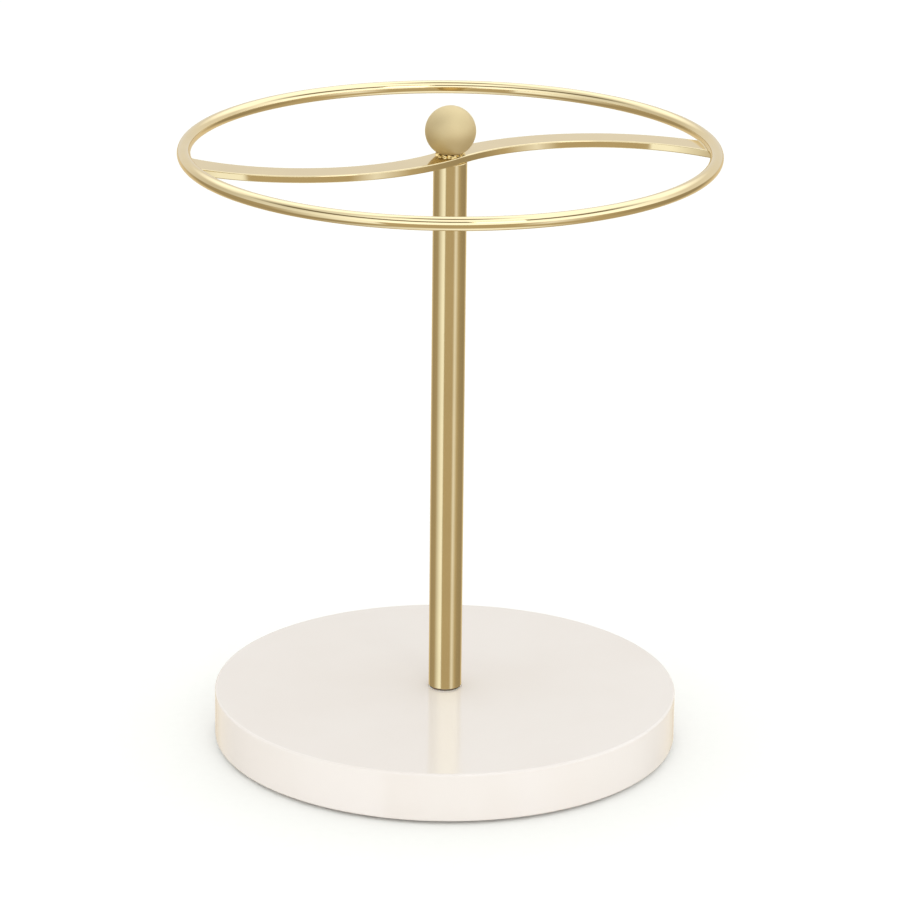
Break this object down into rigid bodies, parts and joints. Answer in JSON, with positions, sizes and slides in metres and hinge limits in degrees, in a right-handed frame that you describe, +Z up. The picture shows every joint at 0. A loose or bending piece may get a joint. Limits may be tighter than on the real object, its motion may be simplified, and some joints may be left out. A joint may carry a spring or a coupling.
{
  "type": "rotating display rack",
  "caption": "Countertop rack with a wire ring on a slim post, held by an S-shaped flat bar under a ball finial, turning on a bearing in a round weighted base.",
  "frame": {"origin": "centre of the underside of the non-slip pad, on the post's axis", "axes": "+Z up along the post, -Y towards the person looking at the rack, +X to that person's right"},
  "size_m": [0.16, 0.16, 0.1977],
  "materials": {
    "satin_gold": "satin gold plate over steel",
    "polished_gold": "polished gold plate over steel",
    "base_stone": "gloss off-white cast stone",
    "pad_rubber": "matt foam rubber",
    "bearing_steel": "ground and polished bearing steel",
    "zinc_steel": "zinc plate",
    "insert_brass": "plain machined brass",
    "nylon": "natural white nylon"
  },
  "bodies": {
    "stand": {"non_slip_pad": "pad_rubber", "base_disc": "base_stone", "bearing_outer_race": "bearing_steel", "bearing_shield_bottom": "zinc_steel", "bearing_shield_top": "zinc_steel", "bearing_retainer": "zinc_steel", "retainer_screw_1": "zinc_steel", "retainer_screw_2": "zinc_steel", "retainer_screw_3": "zinc_steel", "screw_insert_1": "insert_brass", "screw_insert_2": "insert_brass", "screw_insert_3": "insert_brass", "bore_liner": "nylon"},
    "carousel": {"bearing_inner_race": "bearing_steel", "spindle": "zinc_steel", "spindle_washer": "zinc_steel", "spindle_screw": "zinc_steel", "thrust_washer": "nylon", "post_tube": "satin_gold", "post_top_plug": "zinc_steel", "crossbar": "polished_gold", "display_ring": "polished_gold", "finial_stud": "zinc_steel", "toothed_washer": "polished_gold", "ball_finial": "satin_gold"},
    "rolling_set": {"bearing_cage": "nylon", "bearing_ball_1": "bearing_steel", "bearing_ball_2": "bearing_steel", "bearing_ball_3": "bearing_steel", "bearing_ball_4": "bearing_steel", "bearing_ball_5": "bearing_steel", "bearing_ball_6": "bearing_steel", "bearing_ball_7": "bearing_steel"}
  },
  "joints": [
    {"name": "carousel_spin", "type": "hinge", "parent": "stand", "child": "carousel", "pos_m": [0, 0, 0.0072], "axis": [0, 0, 1], "continuous": true},
    {"name": "bearing_cage_spin", "type": "hinge", "parent": "stand", "child": "rolling_set", "pos_m": [0, 0, 0.0072], "axis": [0, 0, 1], "continuous": true}
  ],
  "couplings": [
    {"joint": "bearing_cage_spin", "follows": "carousel_spin", "ratio": 0.36}
  ]
}
